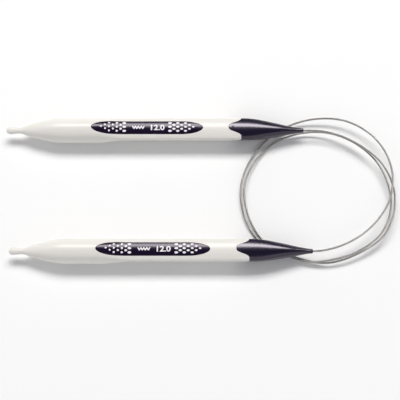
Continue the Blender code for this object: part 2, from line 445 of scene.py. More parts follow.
class Finish(Graph):
    """The node graph of one material, around a Principled shader."""

    def __init__(self, name: str, constants: dict[str, Any]) -> None:
        """Make the material with its shader and the constants set on the shader's own sockets.

        Args:
            name: Name of the material.
            constants: Values of the shader's sockets that are the same all over.
        """
        self.material = bpy.data.materials.new(name)
        self.material.use_nodes = True
        super().__init__(self.material.node_tree)
        surface = self.node("ShaderNodeBsdfPrincipled", None, constants)
        self.shader = surface.socket.node
        self.node("ShaderNodeOutputMaterial", None, {"Surface": surface})

    def place(self) -> Signal:
        """Object coordinates, in metres."""
        return self.node("ShaderNodeTexCoord", output="Object")

    def noise(self, scale: float, detail: float = 2.0, stretch: Point | None = None) -> Signal:
        """Add a noise pattern on object coordinates.

        Args:
            scale: Features per metre.
            detail: How many finer layers it has.
            stretch: Scale along each axis before the noise, or None for an even one.

        Returns:
            A value that varies around a half.
        """
        place = self.place()
        if stretch:
            place = self.node("ShaderNodeMapping", None, {"Vector": place, "Scale": stretch})
        settings = {"Vector": place, "Scale": scale, "Detail": detail, "Roughness": 0.55}
        return self.node("ShaderNodeTexNoise", None, settings)

    def blend(self, factor: Signal, first: Any, second: Any) -> Signal:
        """Mix two colours by a factor."""
        colours = [c if isinstance(c, Signal) else rgba(c) for c in (first, second)]
        inputs = {0: factor, 6: colours[0], 7: colours[1]}
        return self.node("ShaderNodeMix", {"data_type": "RGBA"}, inputs, output=2)

    def bump(self, height: Signal, depth: float, strength: float = 1.0) -> None:
        """Raise the surface by a height signal.

        Args:
            height: The pattern, from 0 to 1.
            depth: What 1 stands for, in millimetres.
            strength: How much of it shows.
        """
        inputs = {"Height": height, "Distance": depth * MM, "Strength": strength}
        self.feed(self.shader.inputs["Normal"], self.node("ShaderNodeBump", None, inputs))

    def set(self, socket: str, value: Signal) -> None:
        """Link a varying signal into one of the shader's sockets."""
        self.feed(self.shader.inputs[socket], value)


class Maker(Graph):
    """A geometry node tree with named inputs, that turns a host mesh into a finished piece."""

    KINDS = {float: "NodeSocketFloat", int: "NodeSocketInt", bpy.types.Material: "NodeSocketMaterial"}

    def __init__(self, name: str, inputs: dict[str, type]) -> None:
        """Make the tree with its geometry socket and its named inputs.

        Args:
            name: Name of the tree.
            inputs: Type of each named input.
        """
        super().__init__(bpy.data.node_groups.new(name, "GeometryNodeTree"))
        faces = self.tree.interface
        faces.new_socket("Geometry", in_out="INPUT", socket_type="NodeSocketGeometry")
        faces.new_socket("Geometry", in_out="OUTPUT", socket_type="NodeSocketGeometry")
        for label, kind in inputs.items():
            faces.new_socket(label, in_out="INPUT", socket_type=self.KINDS[kind])
        self.given = self.node("NodeGroupInput", output="Geometry")

    def value(self, label: str) -> Signal:
        """Read one of the named inputs."""
        return self.given.other(label)

    def vector(self, operation: str, *values: Any) -> Signal:
        """Add a Vector Math node. A last dict gives further sockets by name.

        Args:
            operation: What it does.
            *values: Its inputs in order.

        Returns:
            The result.
        """
        inputs: dict[str | int, Any] = {}
        for i, value in enumerate(values):
            inputs.update(value if isinstance(value, dict) else {i: value})
        return self.node("ShaderNodeVectorMath", {"operation": operation}, inputs)

    def close(self, geometry: Signal, material: Signal) -> None:
        """End the tree: smooth shading, real meshes and the material."""
        smooth = self.node("GeometryNodeSetShadeSmooth", None, {"Geometry": geometry})
        real = self.node("GeometryNodeRealizeInstances", None, {"Geometry": smooth})
        painted = self.node("GeometryNodeSetMaterial", None, {"Geometry": real, "Material": material})
        self.node("NodeGroupOutput", None, {"Geometry": painted})

    def make(self, name: str, host: bpy.types.Mesh, values: dict[str, Any]) -> bpy.types.Object:
        """Run the tree on a host mesh and keep the result as a plain mesh.

        Args:
            name: Name of the finished piece.
            host: The mesh whose points the tree follows.
            values: Value of each named input.

        Returns:
            The finished object, without the modifier.
        """
        piece = linked(name, host)
        modifier = piece.modifiers.new("maker", "NODES")
        modifier.node_group = self.tree
        for item in self.tree.interface.items_tree:
            if item.in_out == "INPUT" and item.name in values:
                modifier[item.identifier] = values[item.name]
        mesh = evaluated_mesh(piece)
        piece.modifiers.clear()
        piece.data = mesh
        mesh.name = name
        bpy.data.meshes.remove(host)
        return piece


# ---- Finishes ----------------------------------------------------------------------------------------


@dataclass(frozen=True)
class WarmWhitePolymer:
    """Satin white moulding, a little uneven in tone and gloss."""

    colour: Colour = (0.780, 0.757, 0.719)
    shade: Colour = (0.760, 0.736, 0.696)
    gloss: float = 0.30
    gloss_spread: float = 0.10

    def material(self) -> bpy.types.Material:
        """Make the material."""
        finish = Finish("warm white polymer", {"Specular IOR Level": 0.42, "Coat Weight": 0.0})
        cloud = finish.noise(55.0, 3.0, (0.35, 1.0, 1.0))
        finish.set("Base Color", finish.blend(cloud, self.colour, self.shade))
        fine = finish.noise(420.0, 2.0)
        finish.set("Roughness", self.gloss + self.gloss_spread * (fine - 0.5))
        grain = finish.noise(2600.0, 2.0)
        finish.bump(grain, 0.004, 0.5)
        return finish.material


@dataclass(frozen=True)
class GlossyAubergine:
    """Near-black violet moulding, polished, with faint handling marks."""

    name: str
    colour: Colour = (0.0040, 0.0026, 0.0120)
    bloom: Colour = (0.0070, 0.0045, 0.0190)
    gloss: float = 0.22
    shine: float = 0.9
    tint: Colour = (0.97, 0.90, 1.0)

    def material(self) -> bpy.types.Material:
        """Make the material."""
        constants = {
            "Specular IOR Level": self.shine,
            "Specular Tint": rgba(self.tint),
        }
        finish = Finish(self.name, constants)
        cloud = finish.noise(120.0, 3.0, (0.4, 1.0, 1.0))
        finish.set("Base Color", finish.blend(cloud, self.colour, self.bloom))
        rubbed = finish.noise(650.0, 4.0, (0.15, 1.0, 1.0))
        finish.set("Roughness", self.gloss + 0.07 * (rubbed - 0.5))
        finish.bump(finish.noise(900.0, 2.0), 0.003, 0.4)
        return finish.material


@dataclass(frozen=True)
class PrintInk:
    """Opaque white ink of a pad print, slightly uneven."""

    colour: Colour = (0.90, 0.89, 0.91)
    thin: Colour = (0.80, 0.78, 0.83)

    def material(self) -> bpy.types.Material:
        """Make the material."""
        finish = Finish("white print ink", {"Specular IOR Level": 0.4})
        patch = finish.noise(1500.0, 3.0)
        finish.set("Base Color", finish.blend(patch, self.colour, self.thin))
        finish.set("Roughness", 0.38 + 0.2 * (patch - 0.5))
        return finish.material


@dataclass(frozen=True)
class StrandedSteel:
    """Bright drawn wires: fine helical grooves along each strand, with painted shade, a darker colour,
    between the wires.
    """

    wires: int = 6
    wire_lay: float = 2.6
    bright: Colour = (0.60, 0.58, 0.565)
    # painted shade: the dark colour that the steel takes between the wires, standing for the shade in the
    # grooves
    groove: Colour = (0.16, 0.152, 0.147)

    def material(self) -> bpy.types.Material:
        """Make the material. It reads the strand attribute: cosine, sine and distance along."""
        finish = Finish("stranded steel", {"Metallic": 1.0})
        strand = finish.node("ShaderNodeAttribute", {"attribute_name": "strand"}, output="Vector")
        apart = finish.node("ShaderNodeSeparateXYZ", None, {0: strand})
        around = apart.maths("ARCTAN2", apart.other("Y"), apart)
        twist = apart.other("Z") * (TURN / (self.wire_lay * MM))
        wave = apart.maths("COSINE", around * float(self.wires) + twist)
        height = apart.maths("ABSOLUTE", wave)
        # painted shade: the base colour darkens from each wire's crest into the grooves between the wires
        finish.set("Base Color", finish.blend(height, self.groove, self.bright))
        drawn = finish.noise(1800.0, 2.0)
        finish.set("Roughness", 0.30 + 0.12 * (drawn - 0.5))
        finish.bump(height, 0.03, 0.8)
        return finish.material


@dataclass(frozen=True)
class CrimpSteel:
    """Brushed ferrule steel with marks of the crimping tool."""

    light: Colour = (0.72, 0.72, 0.73)
    dark: Colour = (0.52, 0.52, 0.54)

    def material(self) -> bpy.types.Material:
        """Make the material."""
        finish = Finish("crimped ferrule steel", {"Metallic": 1.0})
        brushed = finish.noise(900.0, 4.0, (0.08, 1.0, 1.0))
        finish.set("Base Color", finish.blend(brushed, self.dark, self.light))
        finish.set("Roughness", 0.22 + 0.2 * brushed)
        finish.bump(brushed, 0.01, 0.5)
        return finish.material


class Finishes:
    """Every material of the object, made once."""

    def __init__(self) -> None:
        """Make each material."""
        self.white = WarmWhitePolymer().material()
        self.cone = GlossyAubergine("glossy aubergine polymer").material()
        self.label = GlossyAubergine(
            "aubergine label",
            colour=(0.0060, 0.0016, 0.0130),
            bloom=(0.0100, 0.0040, 0.0210),
            gloss=0.2,
            shine=0.5,
        ).material()
        self.ink = PrintInk().material()
        self.steel = StrandedSteel().material()
        self.ferrule = CrimpSteel().material()


# ---- The needles -------------------------------------------------------------------------------------


class Side(Enum):
    """Which needle a piece belongs to."""

    REAR = "rear"
    FRONT = "front"

    def node(self, part: str) -> str:
        """Name of a part on this side."""
        return f"{self.value}_{part}"


@dataclass(frozen=True)
class Place:
    """Where a needle lies: the middle of its mouth, in millimetres, and its length."""

    side: Side
    mouth: Point
    length: float

    @classmethod
    def from_frame(cls, side: Side) -> "Place":
        """Read a needle's place from the frame's joint and shaft.

        Args:
            side: Which needle.

        Returns:
            Its place.
        """
        swing = next(j for j in frame["joints"] if j["name"] == side.node("swing"))
        mouth = tuple(c / MM for c in swing["pos_m"])
        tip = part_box(side.node("shaft"))[0].x / MM
        return cls(side, mouth, mouth[0] - tip)

    def point(self, from_mouth: float, across: float, up: float) -> Point:
        """Turn a needle's own coordinates into the frame's, in millimetres."""
        return (self.mouth[0] - from_mouth, self.mouth[1] + across, self.mouth[2] + up)

    def polar(self, from_mouth: float, radius: float, angle: float) -> Point:
        """Turn a distance from the mouth, a radius and a direction in degrees into a point."""
        turned = math.radians(angle)
        return self.point(from_mouth, radius * math.cos(turned), radius * math.sin(turned))

    def ring(
        self,
        from_mouth: float | Callable[[float], float],
        section: Section,
        half_opening: float = 0.0,
    ) -> Row:
        """One row of points around the needle, from the top down the +Y side and up the -Y side.

        Args:
            from_mouth: Distance from the mouth, or a function of the direction.
            section: The section to follow.
            half_opening: Half the angle that is left out at the top, in degrees.

        Returns:
            The points, one more than there are columns.
        """
        row = []
        for share in steps(COLUMNS):
            angle = 90.0 - half_opening - (360.0 - 2.0 * half_opening) * share
            back = from_mouth(angle) if callable(from_mouth) else from_mouth
            row.append(self.polar(back, section.radius(angle), angle))
        return row


def drop_maker() -> Maker:
    """Build the tree that sets a low, round-edged drop on every point of its host.

    Returns:
        The tree. It reads each drop's half sizes and turns from the host's attributes.
    """
    maker = Maker("drops", {"Finish": bpy.types.Material})
    drop = maker.node("GeometryNodeMeshUVSphere", None, {"Segments": 18, "Rings": 6, "Radius": 1.0})
    size, turn = (
        maker.node("GeometryNodeInputNamedAttribute", {"data_type": "FLOAT_VECTOR"}, {"Name": name})
        for name in ("size", "turn")
    )
    rotation = maker.node("FunctionNodeEulerToRotation", None, {0: turn})
    inputs = {"Points": maker.given, "Instance": drop, "Rotation": rotation, "Scale": size}
    drops = maker.node("GeometryNodeInstanceOnPoints", None, inputs)
    maker.close(drops, maker.value("Finish"))
    return maker


@dataclass(frozen=True)
class Drop:
    """One flattened drop: where it sits, its half sizes in millimetres and its turns in radians."""

    place: Point
    half: Point
    turn: Point


def set_drops(
    name: str, maker: Maker, drops: Sequence[Drop], material: bpy.types.Material
) -> bpy.types.Object:
    """Set every drop of a list.

    Args:
        name: Name of the piece.
        maker: The tree that sets drops on points.
        drops: Where they sit.
        material: Their finish.

    Returns:
        The finished piece.
    """
    host = bpy.data.meshes.new(name)
    host.from_pydata([[c * MM for c in drop.place] for drop in drops], [], [])
    size = host.attributes.new("size", "FLOAT_VECTOR", "POINT")
    turn = host.attributes.new("turn", "FLOAT_VECTOR", "POINT")
    for i, drop in enumerate(drops):
        size.data[i].vector = [c * MM for c in drop.half]
        turn.data[i].vector = drop.turn
    return maker.make(name, host, {"Finish": material})


@dataclass(frozen=True)
class Seam:
    """The wavy joint between shaft and end cone, longest on the three sides."""

    at_ridges: float = 30.0
    tongue: float = 6.1
    turn: float = 5.0

    def at(self, angle: float) -> float:
        """Distance from the mouth to the seam in one direction."""
        wave = (1.0 + math.cos(math.radians(3.0 * (angle - 90.0 + self.turn)))) / 2.0
        return self.at_ridges + self.tongue * smoothstep(0.0, 1.0, wave)

    def towards(self, level: float, share: float, offset: float) -> Callable[[float], float]:
        """Go from a level row towards the seam.

        Args:
            level: Where the level row lies, from the mouth.
            share: How much of the way.
            offset: How far past the seam the way ends.

        Returns:
            The distance from the mouth as a function of the direction.
        """
        return lambda angle: mix(level, self.at(angle) + offset, share)


@dataclass(frozen=True)
class LabelOutline:
    """The outline of the label: straight sides with half-elliptical ends."""

    centre: float = 68.2
    half_length: float = 26.8
    half_width: float = 3.2
    end: float = 10.5
    end_steps: int = 22
    side_steps: int = 26

    def stations(self, grow: float = 0.0) -> list[tuple[float, float]]:
        """List stations along the outline.

        Args:
            grow: How far outside the outline.

        Returns:
            Distance from the label's middle and half width, from the tip's end to the mouth's.
        """
        straight = self.half_length - self.end
        end, width = self.end + grow, self.half_width + grow
        quarter = [math.radians(90.0 * share) for share in steps(self.end_steps)]
        first = [(-straight - end * math.cos(a), width * math.sin(a)) for a in quarter]
        side = [(mix(-straight, straight, share), width) for share in steps(self.side_steps)[1:-1]]
        return first + side + [(-along, half) for along, half in reversed(first)]


@dataclass(frozen=True)
class LabelBed:
    """The shaft's full-thickness surface, and the stretch of its upper side that carries the label."""

    place: Place
    outline: LabelOutline = LabelOutline()
    round_until: float = 43.0
    triangle_from: float = 57.0

    def section(self, from_tip: float) -> Section:
        """Section of the shaft: round from the tip, triangular along the label."""
        share = TRIANGLE * smoothstep(self.round_until, self.triangle_from, from_tip)
        return Section(NEEDLE_RADIUS, share)

    def height(self, along: float, across: float) -> float:
        """Height of the upper side over the needle's axis, at a place on the label."""
        return self.section(self.outline.centre + along).top(across)

    def point(self, along: float, across: float, up: float = 0.0) -> Point:
        """A point over the upper side, in the frame."""
        from_mouth = self.place.length - self.outline.centre - along
        return self.place.point(from_mouth, across, self.height(along, across) + up)

    def walls(self, levels: Sequence[tuple[float, float]]) -> list[list[Row]]:
        """List the rows of the two long walls around the label.

        Args:
            levels: How far outside the outline and how far down each row runs.

        Returns:
            The rows on the +Y side, then those on the -Y side.
        """
        return [
            [
                [self.point(along, sign * half, -down) for along, half in self.outline.stations(grow)]
                for grow, down in levels
            ]
            for sign in (1.0, -1.0)
        ]

    def face(self, grow: float, up: float, cells: int) -> list[Row]:
        """List the rows of a face that follows the upper side.

        Args:
            grow: How far outside the outline the face ends.
            up: How far over the upper side it lies.
            cells: Faces across it.

        Returns:
            The rows across, from the tip's end to the mouth's.
        """
        return [
            [self.point(along, mix(half, -half, share), up) for share in steps(cells)]
            for along, half in self.outline.stations(grow)
        ]


@dataclass
class Shaft:
    """The white moulding with its bead, neck, label pocket and bore."""

    bed: LabelBed
    seam: Seam = Seam()
    bead_centre: float = 2.4
    bead_radius: float = 1.85
    tip: tuple[tuple[float, float], ...] = (
        (2.4, 1.85), (3.9, 1.68), (6.2, 1.45), (8.3, 1.85), (9.7, 2.45), (12.6, 3.45),
        (15.5, 4.12), (18.4, 4.82), (21.3, 5.42), (24.2, 5.85), (28.0, NEEDLE_RADIUS),
    )  # fmt: skip
    groove: float = 0.05
    rounding: float = 0.12
    pocket_depth: float = 0.75
    pocket_cells: int = 6
    level: float = 38.0
    seam_gap: float = 0.07
    bore: float = 3.3
    bore_face: float = 33.3
    bore_end: float = 44.0
    bead_rows: int = 16
    neck_rows: int = 56
    long_rows: int = 8

    def _ring(self, from_tip: float, section: Section, half_opening: float = 0.0) -> Row:
        """One row around the shaft, at a distance from its tip."""
        return self.bed.place.ring(self.bed.place.length - from_tip, section, half_opening)

    def _tip_rows(self) -> list[Row]:
        """List the rows from the bead's pole to where the label starts.

        Returns:
            The rows of the bead, the neck and the round stretch.
        """
        outline, label = Outline(self.tip), self.bed.outline
        thick = self.tip[-1][0]
        reach = label.centre - label.half_length - self.groove - self.rounding
        rows = []
        for share in steps(self.bead_rows):
            turned = math.radians(90.0 * share)
            from_tip = self.bead_centre * (1.0 - math.cos(turned))
            rows.append(self._ring(from_tip, Section(self.bead_radius * math.sin(turned))))
        for share in steps(self.neck_rows, include_start=False):
            from_tip = mix(self.bead_centre, thick, share)
            rows.append(self._ring(from_tip, Section(outline.at(from_tip))))
        for share in steps(self.long_rows, include_start=False)[:-1]:
            from_tip = mix(thick, reach, share)
            rows.append(self._ring(from_tip, self.bed.section(from_tip)))
        return rows

    def _label_rows(self) -> list[Row]:
        """List the rows past the label, open at the top by its width.

        Returns:
            The rows, each from the label's +Y edge around the underside to its -Y edge.
        """
        rows = []
        for along, half in self.bed.outline.stations(self.groove + self.rounding):
            from_tip = self.bed.outline.centre + along
            section = self.bed.section(from_tip)
            opening = math.degrees(math.atan2(half, section.top(half)))
            rows.append(self._ring(from_tip, section, opening))
        return rows

    def _seam_rows(self) -> list[Row]:
        """List the rows from the label's end to the wavy seam, its rounded edge and the bore.

        Returns:
            The rows, the last one closed to a point in the bore.
        """
        ring, label, full = self.bed.place.ring, self.bed.outline, Section(NEEDLE_RADIUS, TRIANGLE)
        past_label = label.centre + label.half_length + self.groove + self.rounding
        start = self.bed.place.length - past_label
        rows = [ring(mix(start, self.level, share), full) for share in steps(self.long_rows, False)]
        edge = self.seam_gap + self.rounding
        for share in (*steps(self.long_rows, False)[:-1], CLOSE):
            rows.append(ring(self.seam.towards(self.level, share, edge), full))
        for sideways, down in rounded_edge(self.rounding):
            section = Section(full.corner - down, full.share)
            rows.append(ring(self.seam.towards(self.level, 1.0, edge - sideways), section))
        inside = ((self.bore_face, self.bore), (self.bore_end, self.bore), (self.bore_end, 0.0))
        return rows + [ring(from_mouth, Section(radius)) for from_mouth, radius in inside]

    def _pocket(self) -> list[list[Row]]:
        """List the sheets of the pocket that holds the label.

        Returns:
            A wall with a rounded rim on either side, and the floor.
        """
        rim = self.groove + self.rounding
        levels = [(rim - inwards, down) for inwards, down in rounded_edge(self.rounding)]
        walls = self.bed.walls([*levels, (self.groove, self.pocket_depth)])
        return [*walls, self.bed.face(self.groove, -self.pocket_depth, self.pocket_cells)]

    def build(self, material: bpy.types.Material) -> bpy.types.Object:
        """Make the shaft."""
        outside = self._tip_rows() + self._label_rows() + self._seam_rows()
        name = self.bed.place.side.node("needle_shaft")
        return shell(name, [outside, *self._pocket()], material)


@dataclass
class Label:
    """The glossy inlay: a thin plate that fills the pocket and follows the shaft's upper side."""

    bed: LabelBed
    thickness: float = 0.6
    rounding: float = 0.08
    cells: int = 28
    base_cells: int = 7

    def build(self, material: bpy.types.Material) -> bpy.types.Object:
        """Make the inlay.

        Args:
            material: Its finish.

        Returns:
            The finished piece.
        """
        edge = self.rounding
        levels = [(outwards - edge, down) for outwards, down in rounded_edge(edge)]
        sheets = [
            self.bed.face(-edge, 0.0, self.cells),
            *self.bed.walls([*levels, (0.0, self.thickness)]),
            self.bed.face(0.0, -self.thickness, self.base_cells),
        ]
        return shell(self.bed.place.side.node("label"), sheets, material)


@dataclass
class Print:
    """The white print on a label: two groups of dots, a row of knit stitches and the gauge number."""

    bed: LabelBed
    ink: float = 0.03
    dot_columns: tuple[int, ...] = (3, 2, 3, 2, 3, 2, 1)
    first_column: float = 11.0
    column_pitch: float = 1.86
    row_pitch: float = 2.0
    dots_across: float = 0.3
    inner_dot: tuple[float, float] = (0.92, 0.56)
    outer_dot: tuple[float, float] = (0.64, 0.43)
    stitches: int = 4
    stitches_from: float = -7.0
    stitches_to: float = -1.4
    stitch_leg: tuple[float, float] = (0.98, 0.30)
    stitch_lean: float = 62.0
    gauge: str = "12.0"
    gauge_from: float = 1.8
    gauge_to: float = 8.4
    gauge_height: float = 2.75
    gauge_slices: int = 12
    boldness: float = 0.028
    tilt_span: float = 0.2

    def dot_marks(self) -> list[Mark]:
        """List the dots, which shrink towards the label's ends.

        Returns:
            A mark for each dot.
        """
        dots = []
        last = len(self.dot_columns) - 1
        for direction in (1.0, -1.0):
            for column, count in enumerate(self.dot_columns):
                along = direction * (self.first_column + self.column_pitch * column)
                share = column / last
                length, width = (mix(a, b, share) for a, b in zip(self.inner_dot, self.outer_dot))
                for i in range(count):
                    across = self.dots_across + self.row_pitch * (i - (count - 1) / 2.0)
                    dots.append((along, across, length, width, 0.0))
        return dots

    def stitch_marks(self) -> list[Mark]:
        """List the legs of the knit stitches.

        Returns:
            A mark for each leg, two to a stitch.
        """
        legs = []
        pitch = (self.stitches_to - self.stitches_from) / self.stitches
        for i in range(self.stitches):
            middle = self.stitches_from + pitch * (i + 0.5)
            for sign in (1.0, -1.0):
                lean = sign * self.stitch_lean
                legs.append((middle + sign * pitch * 0.25, 0.0, *self.stitch_leg, lean))
        return legs

    def scatter(
        self, part: str, maker: Maker, marks: list[Mark], material: bpy.types.Material
    ) -> bpy.types.Object:
        """Set one low ink drop for each mark on the label.

        Args:
            part: Name of the piece, without its side.
            maker: The tree that sets drops on points.
            marks: Where the drops sit, their sizes and turns.
            material: The ink.

        Returns:
            The finished piece.
        """
        drops = []
        half_span = self.tilt_span / 2.0
        for along, across, length, width, lean in marks:
            low, high = (self.bed.height(along, across + step) for step in (-half_span, half_span))
            turn = (math.atan2(high - low, self.tilt_span), 0.0, math.radians(lean))
            drops.append(Drop(self.bed.point(along, across), (length, width, self.ink), turn))
        return set_drops(self.bed.place.side.node(part), maker, drops, material)

    def _type(self) -> bpy.types.Mesh:
        """Set the gauge number as plain type.

        Returns:
            Its mesh, thick enough to have an upper and a lower side.
        """
        curve = bpy.data.curves.new(self.gauge, "FONT")
        curve.body = self.gauge
        curve.offset = self.boldness
        curve.extrude = 0.5
        curve.resolution_u = 6
        scratch = linked(self.gauge, curve)
        mesh = evaluated_mesh(scratch)
        bpy.data.objects.remove(scratch)
        bpy.data.curves.remove(curve)
        return mesh

    def number(self, part: str, material: bpy.types.Material) -> bpy.types.Object:
        """Lay the gauge number on the label, bold and narrow, following its surface.

        Args:
            part: Name of the piece, without its side.
            material: The ink.

        Returns:
            The finished piece.
        """
        mesh = self._type()
        work = bmesh.new()
        work.from_mesh(mesh)
        bmesh.ops.remove_doubles(work, verts=work.verts, dist=1e-5)
        low, high = (
            [pick(v.co[axis] for v in work.verts) for axis in range(2)] for pick in (min, max)
        )
        for share in steps(self.gauge_slices, include_start=False)[:-1]:
            everything = [*work.verts, *work.edges, *work.faces]
            cut = (0.0, mix(low[1], high[1], share), 0.0)
            bmesh.ops.bisect_plane(work, geom=everything, plane_co=cut, plane_no=(0.0, 1.0, 0.0))
        bmesh.ops.triangulate(work, faces=work.faces)
        for vertex in work.verts:
            right, rise = (
                (vertex.co[axis] - low[axis]) / (high[axis] - low[axis]) for axis in range(2)
            )
            along = mix(self.gauge_from, self.gauge_to, right)
            across = self.gauge_height * (rise - 0.5)
            up = self.ink if vertex.co.z > 0.0 else -self.ink
            vertex.co = Vector(self.bed.point(along, across, up)) * MM
        bmesh.ops.recalc_face_normals(work, faces=work.faces)
        work.to_mesh(mesh)
        work.free()
        mesh.name = self.bed.place.side.node(part)
        mesh.materials.clear()
        mesh.materials.append(material)
        return linked(mesh.name, mesh)


@dataclass
class EndCone:
    """The dark cone: wavy base, spigot, ferrule seat and the rope's hole with a rounded lip."""

    place: Place
    seam: Seam = Seam()
    outline: tuple[tuple[float, float], ...] = (
        (0.0, 0.98), (0.5, 1.08), (1.4, 1.15), (6.7, 2.05), (11.9, 3.25), (17.1, 4.39),
        (20.0, 5.0), (22.3, 5.43), (24.4, 5.73), (26.5, 5.94), (30.0, NEEDLE_RADIUS),
    )  # fmt: skip
    round_until: float = 4.0
    triangle_from: float = 28.0
    lip: float = 0.11
    hole: float = 0.75
    edge: float = 0.10
    seat: float = 1.9
    seat_front: float = 20.0
    spigot: float = 3.0
    spigot_foot: float = 0.3
    spigot_face: float = 33.0
    spigot_end: float = 43.0
    boss_place: float = 34.1
    boss: Point = (0.62, 0.62, 0.22)
    flank_from: float = 0.3
    level: float = 26.5
    lip_rows: int = 8
    flank_rows: int = 62
    seam_rows: int = 9

    def _flank_rows(self) -> list[Row]:
        """List the rows from the rope's hole over the lip and the flank to the seam's rounded edge.

        Returns:
            The rows.
        """
        outline, ring, edge = Outline(self.outline), self.place.ring, self.edge

        def section(from_mouth: float) -> Section:
            """Section of the cone at a distance from its mouth."""
            share = TRIANGLE * smoothstep(self.round_until, self.triangle_from, from_mouth)
            return Section(outline.at(from_mouth), share)

        rows = [ring(self.seat_front, Section(self.hole))]
        for share in steps(self.lip_rows):
            swung = math.pi * share
            radius = self.hole + self.lip * (1.0 - math.cos(swung))
            rows.append(ring(self.lip * (1.0 - math.sin(swung)), Section(radius)))
        for share in steps(self.flank_rows):
            from_mouth = mix(self.flank_from, self.level, share)
            rows.append(ring(from_mouth, section(from_mouth)))
        for share in (*steps(self.seam_rows, False)[:-1], CLOSE):
            full_at = mix(self.level, self.outline[-1][0], share)
            rows.append(ring(self.seam.towards(self.level, share, -edge), section(full_at)))
        for sideways, down in rounded_edge(edge):
            rim = Section(NEEDLE_RADIUS - down, TRIANGLE)
            rows.append(ring(self.seam.towards(self.level, 1.0, sideways - edge), rim))
        return rows

    def build(self, material: bpy.types.Material) -> bpy.types.Object:
        """Make the cone.

        Args:
            material: Its finish.

        Returns:
            The finished piece.
        """
        inside = [
            (self.spigot_face, self.spigot + self.spigot_foot),
            (self.spigot_face, self.spigot),
            (self.spigot_end, self.spigot),
            (self.spigot_end, self.seat),
            (self.seat_front, self.seat),
            (self.seat_front, self.hole),
        ]
        rings = [self.place.ring(from_mouth, Section(radius)) for from_mouth, radius in inside]
        return shell(self.place.side.node("cone"), [self._flank_rows() + rings], material)

    def bosses(self, maker: Maker, material: bpy.types.Material) -> bpy.types.Object:
        """Set a low round boss on each of the three tongues.

        Args:
            maker: The tree that sets drops on points.
            material: Their finish.

        Returns:
            The finished piece.
        """
        radius = Section(NEEDLE_RADIUS, TRIANGLE).radius
        drops = []
        for side in (90.0, 210.0, 330.0):
            angle = side - self.seam.turn
            place = self.place.polar(self.boss_place, radius(angle), angle)
            drops.append(Drop(place, self.boss, (math.radians(angle - 90.0), 0.0, 0.0)))
        return set_drops(self.place.side.node("cone_bosses"), maker, drops, material)


@dataclass
class Needle:
    """One needle: shaft, label with its print, end cone and ferrule."""

    place: Place

    def build(self, finishes: Finishes, drops: Maker) -> list[bpy.types.Object]:
        """Make the needle's pieces and fix each to its body.

        Args:
            finishes: The materials.
            drops: The tree that sets drops on points.

        Returns:
            The pieces.
        """
        side = self.place.side
        bed = LabelBed(self.place)
        printed = Print(bed)
        end = EndCone(self.place)
        shaft = Shaft(bed).build(finishes.white)
        inlay = Label(bed).build(finishes.label)
        cone = end.build(finishes.cone)
        for piece, node, slot in (
            (shaft, "shaft", "white_polymer"),
            (inlay, "label_inlay", "aubergine_polymer"),
            (cone, "end_cone", "aubergine_polymer"),
        ):
            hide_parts(side.node(node))
        pieces = [
            shaft,
            inlay,
            cone,
            end.bosses(drops, finishes.cone),
            printed.scatter("label_dots", drops, printed.dot_marks(), finishes.ink),
            printed.scatter("label_stitches", drops, printed.stitch_marks(), finishes.ink),
            printed.number("gauge_number", finishes.ink),
        ]
        for piece in pieces:
            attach(piece, side.node("needle"))
        ferrule = frame["nodes"][side.node("ferrule")]
        ferrule.data.materials.clear()
        ferrule.data.materials.append(finishes.ferrule)
        return pieces


# ---- The rope ----------------------------------------------------------------------------------------


def rope_maker() -> Maker:
    """Build the tree that lays strands in a helix around its host's line, over a core.

    Returns:
        The tree, ready to make pieces.
    """
    numbers = {
        "Strand Count": int,
        "Strand Radius": float,
        "Lay Length": float,
        "Start": float,
        "Strand Sides": int,
        "Finish": bpy.types.Material,
    }
    maker = Maker("laid rope", numbers)
    line = maker.node("GeometryNodeMeshToCurve", None, {"Mesh": maker.given})
    line = maker.node("GeometryNodeSetCurveNormal", {"mode": "Z_UP"}, {"Curve": line})
    count, radius = maker.value("Strand Count"), maker.value("Strand Radius")
    copies = maker.node(
        "GeometryNodeDuplicateElements", {"domain": "SPLINE"}, {"Geometry": line, "Amount": count}
    )
    along = maker.node("GeometryNodeSplineParameter", output="Length")
    started = along + maker.value("Start")
    turned = started / maker.value("Lay Length") + copies.other("Duplicate Index") / count
    angle = turned * TURN
    normal = maker.node("GeometryNodeInputNormal")
    tangent = maker.node("GeometryNodeInputTangent")
    side = maker.vector("CROSS_PRODUCT", tangent, normal)
    reach = radius * 2.0
    outwards = maker.vector("SCALE", normal, {"Scale": reach * angle.maths("COSINE", angle)})
    sideways = maker.vector("SCALE", side, {"Scale": reach * angle.maths("SINE", angle)})
    offset = maker.vector("ADD", outwards, sideways)
    strands = maker.node("GeometryNodeSetPosition", None, {"Geometry": copies, "Offset": offset})
    both = maker.node("GeometryNodeJoinGeometry", None, {"Geometry": line})
    maker.feed(both.socket.node.inputs[0], strands)
    kept = maker.node(
        "GeometryNodeCaptureAttribute",
        {"domain": "POINT", "captures": [("FLOAT", "distance")]},
        {"Geometry": both, "distance": started},
    )
    circle = maker.node(
        "GeometryNodeCurvePrimitiveCircle",
        None,
        {"Resolution": maker.value("Strand Sides"), "Radius": radius},
    )
    around = maker.vector("DIVIDE", maker.node("GeometryNodeInputPosition"), radius)
    profile = maker.node(
        "GeometryNodeCaptureAttribute",
        {"domain": "POINT", "captures": [("VECTOR", "around")]},
        {"Geometry": circle, "around": around},
    )
    tubes = maker.node(
        "GeometryNodeCurveToMesh",
        None,
        {"Curve": kept, "Profile Curve": profile, "Fill Caps": True},
    )
    split = maker.node("ShaderNodeSeparateXYZ", None, {0: profile.other("around")})
    facts = {0: split, 1: split.other("Y"), 2: kept.other("distance")}
    stored = maker.node(
        "GeometryNodeStoreNamedAttribute",
        {"data_type": "FLOAT_VECTOR", "domain": "POINT"},
        {
            "Geometry": tubes,
            "Name": "strand",
            "Value": maker.node("ShaderNodeCombineXYZ", None, facts),
        },
    )
    maker.close(stored, maker.value("Finish"))
    return maker


